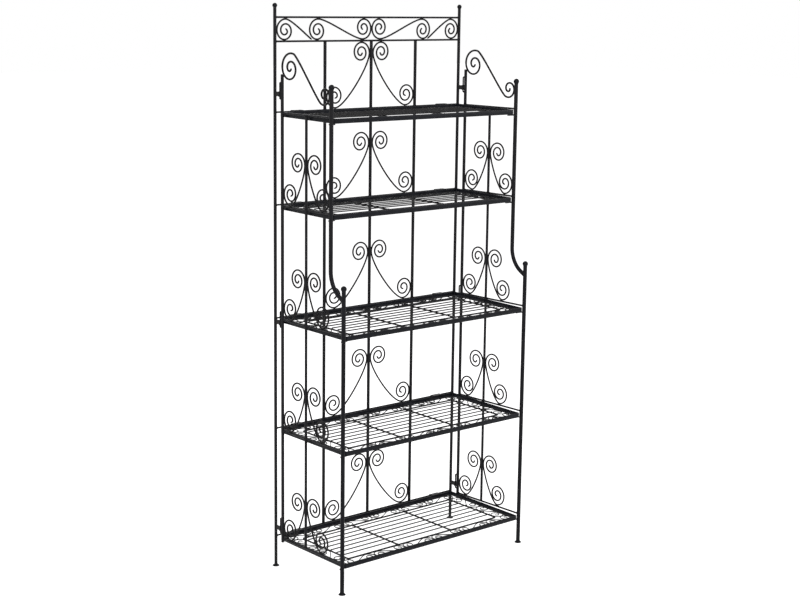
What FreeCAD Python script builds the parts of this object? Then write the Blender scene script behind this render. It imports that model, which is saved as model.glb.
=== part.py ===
import FreeCAD, Part
import math
import os

# Folding bakers rack: a welded back panel, two side panels hinged to it and five tilting shelves.
# Millimetres. X is to the right, -Y is the front, Z is up. The origin is on the floor, in the
# middle of the footprint of the four feet. A depth is measured forward from the back panel.

V = FreeCAD.Vector

# Plan of the frame, from axis to axis
WIDTH = 760.0  # left posts to right posts
LOWER_DEPTH = 333.5  # back posts to lower front posts
UPPER_DEPTH = 272.0  # back posts to upper front posts
BAY = 187.0  # centre bar of the back panel to the bars beside it

# Heights, from axis to axis
BOTTOM_RAIL = 100.0  # floor to the rail of the bottom shelf
LOWER_TIER = 353.0  # between the rails of shelves 2, 3, 4 and 5
UPPER_TIER = 283.0  # between the rails of shelves 1 and 2
CREST = 212.0  # shelf 1's rail to the band rail
BAND = 72.0  # band rail to top rail
BACK_BALL_RISE = 35.0  # top rail to the ball on a back post
UPPER_BALL_RISE = 87.0  # shelf 1's rail to the ball on an upper front post
LOWER_BALL_RISE = 139.0  # shelf 3's rail to the ball on a lower front post

# Bar stock
BACK_POST_D = 10.0
BACK_BAR_D = 10.0
RAIL_D = 5.5
REAR_POST_D = 10.0
MIDDLE_BAR_D = 8.5
FRONT_POST_D = 13.0
BACK_BALL_D = 15.0
FRONT_BALL_D = 18.0
FOOT_D = 22.5
FOOT_COLLAR = 1.0  # how far a foot's top stands out round its post
FOOT_RIM = 2.0  # height of the foot's upright edge
FOOT_HEIGHT = 5.5
FOOT_FLATS = 16
BALL_FLATS = 12
BALL_ROWS = 4
SLIM_FLATS = 8

# Side panels
REAR_POST_SETBACK = 36.5  # depth of the panel's rear post
REAR_POST_TAIL = 12.0  # how far the rear post hangs below the bottom rail
BEND_RISE = 185.0  # shelf 3's rail to the start of the bend in the upper front post
BEND_ANGLE = 60.0
BEND_STRAIGHTS = 4
BEND_RUN_OUT = 19.0  # how far forward the post runs on below the bend, to the lower post's axis

# Hinges of the side panels: a pin on the rear post turns in an eye on the back post
HINGE_SETBACK = 25.0  # depth of the pin's axis
PIN_D = 5.0
PIN_HEIGHT = 54.0
EYE_WALL = 2.2
EYE_HEIGHT = 16.0
EYE_FLATS = 12
ARM_THICKNESS = 4.0
RUNNING_CLEARANCE = 0.1  # radial, pin in eye and rail in hook
TOP_HINGE_RISE = 66.0  # shelf 1's rail to the middle of the top pin
BOTTOM_HINGE_RISE = 40.0  # bottom rail to the middle of the bottom pin
EYE_DROP = 10.0  # the eye sits this far below the middle of its pin

# Shelves
SHELF_SIDE_GAP = 9.0  # side panel's plane to the outside of a shelf
SHELF_REAR_GAP = 12.0  # back plane to the outside of a shelf's rear bar
SHELF_OVERHANG = 2.0  # how far a shelf's front face lies beyond the front posts' axes
FLAT_BAR = 3.0  # thickness of the standing flat bar round a shelf
FLAT_BAR_HEIGHT = 15.0
SHELF_SLOPE = 1.2  # degrees, down to the front
SHELF_CORNER = 8.0
CORNER_STRAIGHTS = 3
GRID_INSET = 48.0  # front or rear of a shelf to the axis of the grid's frame
GRID_END_INSET = 53.0  # end of a shelf to the axis of the grid's frame
GRID_FRAME_WIRE = 5.0
GRID_WIRE = 3.5
GRID_PITCH = 28.6
CROSS_BAR_OFFSET = 113.0  # centre of the shelf to each cross bar
LINK_PITCH = 243.0  # between the diagonal links of the border
LINK_SLANT = 26.0
LINK_WIRE = 3.5

# Hooks that hang and turn on a rail, and the pegs that hold up a shelf's front
HOOK_OFFSET = 300.0
HOOK_WIDTH = 36.0
HOOK_STRAP = 2.0
HOOK_WRAP = 145.0  # degrees, from the top of the rail down behind it
HOOK_FOLDS = 4
PEG_WIRE = 5.0
PEG_REACH_BACK = 12.0  # front post's axis to the peg's inner leg
PEG_REACH_IN = 23.0  # front post's axis to the peg's tip
SEAT_GAP = 0.3  # between a peg and the shelf that rests on it

# Scrollwork
SCROLL_WIRE = 5.0
CREST_WIRE = 5.5
FACET = 24.0  # longest straight of a bent scroll
TIGHTEST_TURN = 50.0  # degrees between two straights
TAIL_STRAIGHTS = 5
TAIL_GRIP = 0.17  # how far a tail keeps its end directions, as a share of its length
CURL_END = 6.0  # radius at which a curl stops
UPPER_CURL = 32.5
UPPER_CURL_TURNS = 1.6
LOWER_CURL = 34.0
LOWER_CURL_TURNS = 1.4
BAND_TURNS = 1.6
BAND_SCROLL_START = 130.0  # left post to the left side of the long scroll
BAND_SHORT_TAIL = 140.0  # left post to the end of the corner scroll's tail
SIDE_SCROLL_WIDTH = 107.0
SIDE_SCROLL_HEIGHT = 166.5
TOP_CURL = 45.5
TOP_CURL_END = 10.0
TOP_CURL_TURNS = 1.75
TOP_CURL_RISE = 182.0  # shelf 1's rail to the top of the large curl
TOP_CURL_SETBACK = 36.0  # depth of its rear side
FRONT_CURL = 28.0
FRONT_CURL_END = 8.0
FRONT_CURL_TURNS = 1.25
FRONT_CURL_RISE = 34.0  # shelf 1's rail to the bottom of the small curl

# Places worked out from the sizes above
POST_X = WIDTH / 2
BACK_Y = LOWER_DEPTH / 2
SHELF_FIVE = BOTTOM_RAIL
SHELF_FOUR = SHELF_FIVE + LOWER_TIER
SHELF_THREE = SHELF_FOUR + LOWER_TIER
SHELF_TWO = SHELF_THREE + LOWER_TIER
SHELF_ONE = SHELF_TWO + UPPER_TIER
SHELF_RAILS = (SHELF_ONE, SHELF_TWO, SHELF_THREE, SHELF_FOUR, SHELF_FIVE)
FRONT_DEPTHS = (UPPER_DEPTH, UPPER_DEPTH, LOWER_DEPTH, LOWER_DEPTH, LOWER_DEPTH)
BAND_RAIL = SHELF_ONE + CREST
TOP_RAIL = BAND_RAIL + BAND
MIDDLE_BAR_DEPTH = (REAR_POST_SETBACK + UPPER_DEPTH) / 2
HINGES = (SHELF_ONE + TOP_HINGE_RISE, SHELF_THREE, SHELF_FIVE + BOTTOM_HINGE_RISE)
SHELF_TOP = RAIL_D / 2 + RUNNING_CLEARANCE  # rail axis to the top of the flat bar, under the hooks
BEND_RADIUS = (LOWER_DEPTH - UPPER_DEPTH - BEND_RUN_OUT) / (1 - math.cos(math.radians(BEND_ANGLE)))
SIDES = (("left", -1), ("right", 1))


def save(name, solids):
    """Write one node."""
    Part.makeCompound(solids).exportStep("parts/" + name + ".step")


def at(x, depth, z):
    return V(x, BACK_Y - depth, z)


def rod(start, end, diameter):
    """Round bar between two points."""
    axis = end - start
    return Part.makeCylinder(diameter / 2, axis.Length, start, axis)


def square_bar(start, end, size):
    """Square bar between two points on a line along X, Y or Z."""
    margin = [0 if a != b else size / 2 for a, b in zip(start, end)]
    low = [min(a, b) - m for a, b, m in zip(start, end, margin)]
    high = [max(a, b) + m for a, b, m in zip(start, end, margin)]
    spans = [h - l for h, l in zip(high, low)]
    return Part.makeBox(spans[0], spans[1], spans[2], V(*low))


def polygon(corners):
    return Part.Face(Part.makePolygon(corners + corners[:1]))


def slim_rod(start, end, diameter):
    """Slim bar along X, drawn with flats."""
    corners = []
    for turn in range(SLIM_FLATS):
        angle = 2 * math.pi * turn / SLIM_FLATS
        corners.append(start + V(0, diameter / 2 * math.cos(angle), diameter / 2 * math.sin(angle)))
    return polygon(corners).extrude(end - start)


def ring(centre, radius, rise, flats):
    """Corners of a level ring round an upright axis."""
    corners = []
    for turn in range(flats):
        angle = 2 * math.pi * turn / flats
        corners.append(centre + V(radius * math.cos(angle), radius * math.sin(angle), rise))
    return corners


def between(low, high):
    """Flats between two rings."""
    return [polygon([low[i - 1], low[i], high[i], high[i - 1]]) for i in range(len(low))]


def ball_seat(ball_d, post_d):
    """Ball's centre down to the flat on which it sits on its post."""
    return math.sqrt((ball_d / 2) ** 2 - (post_d / 2) ** 2)


def ball(centre, ball_d, post_d):
    """Ball drawn with flats, on a flat seat as wide as its post."""
    lowest = -math.asin(2 * ball_seat(ball_d, post_d) / ball_d)
    rings = []
    for row in range(BALL_ROWS):
        tilt = lowest + (math.pi / 2 - lowest) * row / BALL_ROWS
        rings.append(ring(centre, ball_d / 2 * math.cos(tilt), ball_d / 2 * math.sin(tilt), BALL_FLATS))
    faces = [polygon(rings[0])]
    for low, high in zip(rings, rings[1:]):
        faces += between(low, high)
    pole = centre + V(0, 0, ball_d / 2)
    faces += [polygon([rings[-1][i - 1], rings[-1][i], pole]) for i in range(BALL_FLATS)]
    return Part.Solid(Part.Shell(faces))


def foot(x, depth, post_d):
    """Flared foot with an upright rim, drawn with flats."""
    floor = at(x, depth, 0)
    bottom = ring(floor, FOOT_D / 2, 0, FOOT_FLATS)
    edge = ring(floor, FOOT_D / 2, FOOT_RIM, FOOT_FLATS)
    top = ring(floor, post_d / 2 + FOOT_COLLAR, FOOT_HEIGHT, FOOT_FLATS)
    faces = [polygon(bottom), polygon(top)] + between(bottom, edge) + between(edge, top)
    return Part.Solid(Part.Shell(faces))


# ---- Bent wire: a centre line in a plane, given a square section ----


def on_back(u, v, w):
    """Plane of the back panel: u to the right of centre, v up, w forward."""
    return at(u, w, v)


def on_side(side):
    """Plane of a side panel: u is the depth, v is up, w is outward."""
    return lambda u, v, w: at(side * (POST_X + w), u, v)


def level(z):
    """Level plane: u to the right of centre, v is the depth, w is up."""
    return lambda u, v, w: at(u, v, z + w)


def prism(outline, place, thickness):
    """Flat piece of the given outline, centred on its plane."""
    corners = [place(u, v, -thickness / 2) for u, v in outline]
    return polygon(corners).extrude(place(0, 0, thickness) - place(0, 0, 0))


def bent_wire(line, place, wire):
    """Wire of square section along a centre line of straights, mitred where they meet."""
    left = []
    right = []
    for i, (u, v) in enumerate(line):
        before = line[max(i - 1, 0)]
        after = line[min(i + 1, len(line) - 1)]
        arriving = math.atan2(v - before[1], u - before[0]) if i else None
        leaving = math.atan2(after[1] - v, after[0] - u) if i < len(line) - 1 else arriving
        arriving = leaving if arriving is None else arriving
        turn = math.remainder(leaving - arriving, 2 * math.pi)
        across = arriving + turn / 2 + math.pi / 2
        reach = wire / 2 / math.cos(turn / 2)
        left.append((u + reach * math.cos(across), v + reach * math.sin(across)))
        right.append((u - reach * math.cos(across), v - reach * math.sin(across)))
    return prism(left + right[::-1], place, wire)


def shrink(radius, end_radius, turns):
    """How much a curl's radius shrinks in a quarter turn."""
    return (radius - end_radius) / (4 * turns)


def curl(centre, radius, end_radius, start, turns):
    """Points of a curl that winds in from the angle start, anticlockwise if turns is positive."""
    points = []
    turned = 0.0
    whole = abs(turns) * 2 * math.pi
    while turned < whole:
        reach = radius + (end_radius - radius) * turned / whole
        angle = start + math.copysign(turned, turns)
        points.append((centre[0] + reach * math.cos(angle), centre[1] + reach * math.sin(angle)))
        turned += min(FACET / reach, math.radians(TIGHTEST_TURN))
    return points


def tail(start, start_way, end, end_way):
    """Points between two curls, on a smooth curve that leaves and arrives in the given directions."""
    grip = TAIL_GRIP * math.dist(start, end)
    second = [s + grip * way for s, way in zip(start, start_way)]
    third = [e - grip * way for e, way in zip(end, end_way)]
    points = []
    for step in range(1, TAIL_STRAIGHTS):
        t = step / TAIL_STRAIGHTS
        weights = ((1 - t) ** 3, 3 * t * (1 - t) ** 2, 3 * t * t * (1 - t), t**3)
        shares = [sum(k * c for k, c in zip(weights, cs)) for cs in zip(start, second, third, end)]
        points.append(tuple(shares))
    return points


def c_scroll(width, height):
    """Scroll beside a bar: the upper curl leans on the bar at u = 0, the lower one reaches u = width."""
    half = SCROLL_WIRE / 2
    top_step = shrink(UPPER_CURL, CURL_END, UPPER_CURL_TURNS)
    low_step = shrink(LOWER_CURL, CURL_END, LOWER_CURL_TURNS)
    top_centre = (half + UPPER_CURL, height - half - UPPER_CURL + top_step)
    low_centre = (width - half - LOWER_CURL + low_step, half + LOWER_CURL)
    upper = curl(top_centre, UPPER_CURL, CURL_END, math.pi, -UPPER_CURL_TURNS)
    lower = curl(low_centre, LOWER_CURL, CURL_END, -math.pi / 2, LOWER_CURL_TURNS)
    return upper[::-1] + tail(upper[0], (0, -1), lower[0], (1, 0)) + lower


def mirrored(line):
    return [(-u, v) for u, v in line]


def shifted(line, du, dv):
    return [(u + du, v + dv) for u, v in line]


# ---- Back panel ----


def back_posts():
    top = TOP_RAIL + BACK_BALL_RISE - ball_seat(BACK_BALL_D, BACK_POST_D)
    balls = []
    feet = []
    for name, side in SIDES:
        x = side * POST_X
        save("back_post_" + name, [rod(at(x, 0, FOOT_HEIGHT), at(x, 0, top), BACK_POST_D)])
        balls.append(ball(at(x, 0, TOP_RAIL + BACK_BALL_RISE), BACK_BALL_D, BACK_POST_D))
        feet.append(foot(x, 0, BACK_POST_D))
    save("back_finials", balls)
    save("back_feet", feet)


def back_bars():
    for name, x in (("left", -BAY), ("center", 0.0), ("right", BAY)):
        bottom = at(x, 0, SHELF_FIVE + RAIL_D / 2)
        top = at(x, 0, BAND_RAIL - RAIL_D / 2)
        save("back_bar_" + name, [rod(bottom, top, BACK_BAR_D)])


def back_rails():
    """Whole rails at the top, the band and the bottom, and rails in four bays between the bars."""
    end = POST_X - BACK_POST_D / 2
    save("top_rail", [square_bar(at(-end, 0, TOP_RAIL), at(end, 0, TOP_RAIL), RAIL_D)])
    save("band_rail", [square_bar(at(-end, 0, BAND_RAIL), at(end, 0, BAND_RAIL), RAIL_D)])
    save("back_rail_5", [slim_rod(at(-end, 0, SHELF_FIVE), at(end, 0, SHELF_FIVE), RAIL_D)])
    beside = BACK_BAR_D / 2
    for number, z in enumerate(SHELF_RAILS[:4], 1):
        pieces = []
        for side in (-1, 1):
            inner = square_bar(at(side * beside, 0, z), at(side * (BAY - beside), 0, z), RAIL_D)
            outer = slim_rod(at(side * (BAY + beside), 0, z), at(side * end, 0, z), RAIL_D)
            pieces += [inner, outer]
        save(f"back_rail_{number}", pieces)


def back_scrolls():
    """A pair in each tier, between the centre bar and the bars beside it."""
    width = BAY - BACK_BAR_D
    height = CREST - RAIL_D
    line = c_scroll(width, height)
    for number, z in enumerate(SHELF_RAILS, 1):
        right = shifted(line, BACK_BAR_D / 2, z + RAIL_D / 2)
        pair = [bent_wire(half, on_back, SCROLL_WIRE) for half in (right, mirrored(right))]
        save(f"back_scrolls_{number}", pair)


def band_scrolls():
    """Corner scroll with a short tail, and a long scroll that runs down to the middle, on each side."""
    half = SCROLL_WIRE / 2
    top = TOP_RAIL - RAIL_D / 2 - half
    bottom = BAND_RAIL + RAIL_D / 2 + half
    quarters = 4 * BAND_TURNS
    radius = (quarters * (top - bottom) / 2 - CURL_END) / (quarters - 1)
    step = shrink(radius, CURL_END, BAND_TURNS)
    pieces = []
    for side in (-1, 1):
        corner_x = -POST_X + BACK_POST_D / 2 + half + radius - step
        corner = curl((corner_x, top - radius), radius, CURL_END, math.pi / 2, BAND_TURNS)
        tail_end = (-POST_X + BAND_SHORT_TAIL, bottom)
        drop = (tail_end[0] - corner[0][0], bottom - top)
        way = [part / math.hypot(*drop) for part in drop]
        short = corner[::-1] + tail(corner[0], (1, 0), tail_end, way) + [tail_end]
        long_x = -POST_X + BAND_SCROLL_START + half + radius - step
        outer = curl((long_x, top - radius), radius, CURL_END, math.pi / 2, BAND_TURNS)
        middle_x = -half - radius + step
        inner = curl((middle_x, bottom + radius), radius, CURL_END, -math.pi / 2, BAND_TURNS)
        long = outer[::-1] + tail(outer[0], (1, 0), inner[0], (1, 0)) + inner
        for line in (short, long):
            pieces.append(bent_wire(line if side < 0 else mirrored(line), on_back, SCROLL_WIRE))
    save("band_scrolls", pieces)


# ---- Hinges ----


def eye_prism(centre, radius):
    """Upright prism whose flats lie at the given radius."""
    reach = radius / math.cos(math.pi / EYE_FLATS)
    return polygon(ring(centre, reach, 0, EYE_FLATS)).extrude(V(0, 0, EYE_HEIGHT))


def hinge_brackets(name, side):
    """Arms with an eye at the end, welded to the back post."""
    x = side * POST_X
    bore = PIN_D / 2 + RUNNING_CLEARANCE
    reach = HINGE_SETBACK - BACK_POST_D / 2
    arms = []
    for z in HINGES:
        centre = at(x, HINGE_SETBACK, z - EYE_DROP - EYE_HEIGHT / 2)
        arm = Part.makeBox(ARM_THICKNESS, reach, EYE_HEIGHT, centre - V(ARM_THICKNESS / 2, 0, 0))
        arm = arm.fuse(eye_prism(centre, bore + EYE_WALL)).cut(eye_prism(centre, bore))
        arms.append(arm.removeSplitter())
    save("hinge_brackets_" + name, arms)


def hinge_pins(name, side):
    """Pins on two short legs, welded to the rear post."""
    x = side * POST_X
    leg = PIN_D / 2
    weld = REAR_POST_SETBACK - REAR_POST_D / 2
    pins = []
    for z in HINGES:
        bottom = z - PIN_HEIGHT / 2
        top = z + PIN_HEIGHT / 2
        pin = rod(at(x, HINGE_SETBACK, bottom), at(x, HINGE_SETBACK, top), PIN_D)
        for height in (bottom + leg, top - leg):
            bridge = square_bar(at(x, HINGE_SETBACK, height), at(x, weld, height), PIN_D)
            pin = pin.fuse(bridge)
        pins.append(pin.removeSplitter())
    save("hinge_pins_" + name, pins)


# ---- Side panels ----


def large_curl_centre():
    step = shrink(TOP_CURL, TOP_CURL_END, TOP_CURL_TURNS)
    return (TOP_CURL_SETBACK + TOP_CURL - step, SHELF_ONE + TOP_CURL_RISE - TOP_CURL)


def rear_post_top():
    """Height at which the front edge of the rear post meets the underside of the large curl."""
    centre_u, centre_v = large_curl_centre()
    edge = centre_u - REAR_POST_SETBACK - REAR_POST_D / 2
    reach = TOP_CURL - 1.5 * shrink(TOP_CURL, TOP_CURL_END, TOP_CURL_TURNS) + CREST_WIRE / 2
    return centre_v - math.sqrt(reach**2 - edge**2)


def side_posts(name, side):
    x = side * POST_X
    rear_bottom = at(x, REAR_POST_SETBACK, SHELF_FIVE - REAR_POST_TAIL)
    rear = rod(rear_bottom, at(x, REAR_POST_SETBACK, rear_post_top()), REAR_POST_D)
    save("rear_post_" + name, [rear])
    bar_bottom = at(x, MIDDLE_BAR_DEPTH, SHELF_FIVE + RAIL_D / 2)
    bar_top = at(x, MIDDLE_BAR_DEPTH, SHELF_ONE - RAIL_D / 2)
    save("middle_bar_" + name, [rod(bar_bottom, bar_top, MIDDLE_BAR_D)])
    seat = ball_seat(FRONT_BALL_D, FRONT_POST_D)
    lower_ball = at(x, LOWER_DEPTH, SHELF_THREE + LOWER_BALL_RISE)
    upper_ball = at(x, UPPER_DEPTH, SHELF_ONE + UPPER_BALL_RISE)
    lower = rod(at(x, LOWER_DEPTH, FOOT_HEIGHT), lower_ball - V(0, 0, seat), FRONT_POST_D)
    save("lower_front_post_" + name, [lower, foot(x, LOWER_DEPTH, FRONT_POST_D)])
    save("upper_front_post_" + name, [bent_post(upper_ball.z - seat).translated(V(x, 0, 0))])
    balls = [ball(centre, FRONT_BALL_D, FRONT_POST_D) for centre in (upper_ball, lower_ball)]
    save("front_finials_" + name, balls)


def bent_post(top_z):
    """Upper front post: straight down, bent forward in a few straights, and on to the lower post."""
    top = at(0, UPPER_DEPTH, top_z)
    pivot = at(0, UPPER_DEPTH + BEND_RADIUS, SHELF_THREE + BEND_RISE)
    line = [top]
    for step in range(BEND_STRAIGHTS + 1):
        angle = math.radians(BEND_ANGLE) * step / BEND_STRAIGHTS
        line.append(pivot + V(0, BEND_RADIUS * math.cos(angle), -BEND_RADIUS * math.sin(angle)))
    face = at(0, LOWER_DEPTH - FRONT_POST_D / 2, 0)
    travel = (line[-1].y - face.y) / math.sin(angle)
    way = V(0, -math.sin(angle), -math.cos(angle))
    meeting = line[-1] + way * travel
    line.append(meeting + way * FRONT_POST_D)
    section = Part.Wire(Part.makeCircle(FRONT_POST_D / 2, top, V(0, 0, -1)))
    post = Part.makePolygon(line).makePipeShell([section], True, False, 1)
    size = 4 * FRONT_POST_D
    return post.cut(Part.makeBox(size, size, size, meeting - V(size / 2, size, size / 2)))


def side_rails(name, side):
    """Rails from the rear post to the front post, cut at the middle bar except the first and last."""
    x = side * POST_X
    start = REAR_POST_SETBACK + REAR_POST_D / 2
    before = MIDDLE_BAR_DEPTH - MIDDLE_BAR_D / 2
    after = MIDDLE_BAR_DEPTH + MIDDLE_BAR_D / 2
    pieces = []
    for z, depth in zip(SHELF_RAILS, FRONT_DEPTHS):
        end = depth - FRONT_POST_D / 2
        whole = z in (SHELF_ONE, SHELF_FIVE)
        for near, far in ((start, end),) if whole else ((start, before), (after, end)):
            pieces.append(square_bar(at(x, near, z), at(x, far, z), RAIL_D))
    save("side_rails_" + name, pieces)


def side_scrolls(name, side):
    """A pair beside the middle bar, standing on each side rail but the first."""
    line = shifted(c_scroll(SIDE_SCROLL_WIDTH, SIDE_SCROLL_HEIGHT), MIDDLE_BAR_D / 2, 0)
    pieces = []
    for z in SHELF_RAILS[1:]:
        for half in (line, mirrored(line)):
            placed = shifted(half, MIDDLE_BAR_DEPTH, z + RAIL_D / 2)
            pieces.append(bent_wire(placed, on_side(side), SCROLL_WIRE))
    save("side_scrolls_" + name, pieces)


def top_scroll(name, side):
    """Large curl over the rear post, running down to a small curl against the upper front post."""
    large = curl(large_curl_centre(), TOP_CURL, TOP_CURL_END, math.pi / 2, TOP_CURL_TURNS)
    step = shrink(FRONT_CURL, FRONT_CURL_END, FRONT_CURL_TURNS)
    small_u = UPPER_DEPTH - FRONT_POST_D / 2 - CREST_WIRE / 2 - FRONT_CURL + step
    small_v = SHELF_ONE + FRONT_CURL_RISE + FRONT_CURL
    small = curl((small_u, small_v), FRONT_CURL, FRONT_CURL_END, -math.pi / 2, FRONT_CURL_TURNS)
    line = large[::-1] + tail(large[0], (1, 0), small[0], (1, 0)) + small
    save("top_scroll_" + name, [bent_wire(line, on_side(side), CREST_WIRE)])


def shelf_pegs(name, side):
    """Bent pegs behind the front posts; the inner leg lies under the shelf's side bar."""
    half = PEG_WIRE / 2
    weld = FRONT_POST_D / 2
    slope = math.radians(SHELF_SLOPE)
    pegs = []
    for z, depth in zip(SHELF_RAILS, FRONT_DEPTHS):
        leg = depth - PEG_REACH_BACK
        underside = z - (FLAT_BAR_HEIGHT - SHELF_TOP) / math.cos(slope) - (leg + half) * math.tan(slope)
        height = underside - SEAT_GAP - half
        x = side * POST_X
        tip = side * (POST_X - PEG_REACH_IN)
        back = square_bar(at(x, depth - weld, height), at(x, leg - half, height), PEG_WIRE)
        inward = square_bar(at(x, leg, height), at(tip, leg, height), PEG_WIRE)
        pegs.append(back.fuse(inward).removeSplitter())
    save("shelf_pegs_" + name, pegs)


# ---- Shelves ----


def save_shelf_part(name, solids, z):
    """Write a node of a shelf, sloped about the rail that the shelf hangs on."""
    for solid in solids:
        solid.rotate(at(0, 0, z), V(1, 0, 0), SHELF_SLOPE)
    save(name, solids)


def rounded_rectangle(half_width, near, far, corner):
    """Outline between two depths, with corners bent in a few straights."""
    points = []
    corners = ((1, near, 1, 3), (1, far, -1, 0), (-1, far, -1, 1), (-1, near, 1, 2))
    for sign, edge, inward, quarter in corners:
        centre = (sign * (half_width - corner), edge + inward * corner)
        for step in range(CORNER_STRAIGHTS + 1):
            angle = (quarter + step / CORNER_STRAIGHTS) * math.pi / 2
            points.append((centre[0] + corner * math.cos(angle), centre[1] + corner * math.sin(angle)))
    return points


def strap_side(reach, fold):
    """One side of a hook's strap: level over the rail, then folded down behind it."""
    points = [(SHELF_REAR_GAP + FLAT_BAR, reach)]
    corner = reach / math.cos(fold / 2)
    for step in range(HOOK_FOLDS):
        angle = math.pi / 2 + fold * (step + 0.5)
        points.append((corner * math.cos(angle), corner * math.sin(angle)))
    end = math.pi / 2 + fold * HOOK_FOLDS
    return points + [(reach * math.cos(end), reach * math.sin(end))]


def hook(x, z):
    """Strap that lies on the rear bar and is folded over the rail."""
    fold = math.radians(HOOK_WRAP) / HOOK_FOLDS
    outline = strap_side(SHELF_TOP, fold) + strap_side(SHELF_TOP + HOOK_STRAP, fold)[::-1]
    return prism(shifted(outline, 0, z), lambda u, v, w: at(x + w, u, v), HOOK_WIDTH)


def shelf_frame(number, z, front):
    half_width = POST_X - SHELF_SIDE_GAP
    rear = SHELF_REAR_GAP
    plane = level(z + SHELF_TOP - FLAT_BAR_HEIGHT / 2)
    outside = prism(rounded_rectangle(half_width, rear, front, SHELF_CORNER), plane, FLAT_BAR_HEIGHT)
    bend = SHELF_CORNER - FLAT_BAR
    hollow = rounded_rectangle(half_width - FLAT_BAR, rear + FLAT_BAR, front - FLAT_BAR, bend)
    bars = outside.cut(prism(hollow, plane, FLAT_BAR_HEIGHT))
    hooks = [hook(side * HOOK_OFFSET, z) for side in (-1, 1)]
    save_shelf_part(f"shelf_{number}_frame", [bars] + hooks, z)


def shelf_grid(number, z, front):
    """Wire frame with two cross bars, and long wires laid on top of it."""
    half = GRID_FRAME_WIRE / 2
    top = z + SHELF_TOP - GRID_WIRE - half
    near = SHELF_REAR_GAP + GRID_INSET
    far = front - GRID_INSET
    side = POST_X - SHELF_SIDE_GAP - GRID_END_INSET
    pieces = []
    for depth in (near, far):
        pieces.append(square_bar(at(-side - half, depth, top), at(side + half, depth, top), GRID_FRAME_WIRE))
    for x in (-side, -CROSS_BAR_OFFSET, CROSS_BAR_OFFSET, side):
        pieces.append(square_bar(at(x, near + half, top), at(x, far - half, top), GRID_FRAME_WIRE))
    gaps = round((far - near) / GRID_PITCH)
    wire_z = z + SHELF_TOP - GRID_WIRE / 2
    for index in range(1, gaps):
        depth = near + (far - near) * index / gaps
        pieces.append(square_bar(at(-side, depth, wire_z), at(side, depth, wire_z), GRID_WIRE))
    save_shelf_part(f"shelf_{number}_grid", pieces, z)


def shelf_border(number, z, front):
    """Diagonal links of the border scrolls, from the flat bar to the wire frame."""
    half = GRID_FRAME_WIRE / 2
    plane = level(z + SHELF_TOP - GRID_WIRE - half)
    along = LINK_WIRE / 2
    rear = (SHELF_REAR_GAP + FLAT_BAR, SHELF_REAR_GAP + GRID_INSET - half)
    fore = (front - FLAT_BAR, front - GRID_INSET + half)
    outer = POST_X - SHELF_SIDE_GAP - FLAT_BAR
    inner = POST_X - SHELF_SIDE_GAP - GRID_END_INSET + half
    links = []
    for index in (-1, 0, 1):
        x = index * LINK_PITCH
        for bar, frame in (rear, fore):
            ends = (
                (x - along, bar),
                (x + along, bar),
                (x + LINK_SLANT + along, frame),
                (x + LINK_SLANT - along, frame),
            )
            links.append(prism(ends, plane, LINK_WIRE))
    middle = (SHELF_REAR_GAP + front) / 2
    for side in (-1, 1):
        ends = (
            (side * outer, middle - along),
            (side * outer, middle + along),
            (side * inner, middle + LINK_SLANT + along),
            (side * inner, middle + LINK_SLANT - along),
        )
        links.append(prism(ends, plane, LINK_WIRE))
    save_shelf_part(f"shelf_{number}_border", links, z)


def main():
    os.makedirs("parts", exist_ok=True)
    back_posts()
    back_bars()
    back_rails()
    back_scrolls()
    band_scrolls()
    for name, side in SIDES:
        hinge_brackets(name, side)
        hinge_pins(name, side)
        side_posts(name, side)
        side_rails(name, side)
        side_scrolls(name, side)
        top_scroll(name, side)
        shelf_pegs(name, side)
    for number, (z, depth) in enumerate(zip(SHELF_RAILS, FRONT_DEPTHS), 1):
        front = depth + SHELF_OVERHANG
        shelf_frame(number, z, front)
        shelf_grid(number, z, front)
        shelf_border(number, z, front)


main()
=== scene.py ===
import math

import bmesh
import bpy
from mathutils import Matrix, Vector


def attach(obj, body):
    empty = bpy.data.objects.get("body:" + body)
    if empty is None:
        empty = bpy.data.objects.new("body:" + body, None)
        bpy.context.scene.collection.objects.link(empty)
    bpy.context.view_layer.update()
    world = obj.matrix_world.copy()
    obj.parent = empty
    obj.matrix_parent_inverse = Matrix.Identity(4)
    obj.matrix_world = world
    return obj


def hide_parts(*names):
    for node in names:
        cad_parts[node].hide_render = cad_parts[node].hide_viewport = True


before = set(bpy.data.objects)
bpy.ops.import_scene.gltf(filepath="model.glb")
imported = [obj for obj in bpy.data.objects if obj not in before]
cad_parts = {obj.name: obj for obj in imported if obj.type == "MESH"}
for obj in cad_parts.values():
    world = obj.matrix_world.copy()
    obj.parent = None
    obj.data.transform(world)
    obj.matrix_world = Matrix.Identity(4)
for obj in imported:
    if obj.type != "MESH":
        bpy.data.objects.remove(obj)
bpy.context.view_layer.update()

# A folding bakers rack of black painted iron. Sizes are in millimetres, as in the CAD model, and
# at() turns them into the frame's metres. A depth is measured forward from the back panel.
MM = 0.001

# Plan, from axis to axis
POST_X = 380.0
LOWER_DEPTH = 333.5
UPPER_DEPTH = 272.0
BACK_Y = LOWER_DEPTH / 2
BAY = 187.0
REAR_POST_SETBACK = 36.5
MIDDLE_BAR_DEPTH = (REAR_POST_SETBACK + UPPER_DEPTH) / 2

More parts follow.
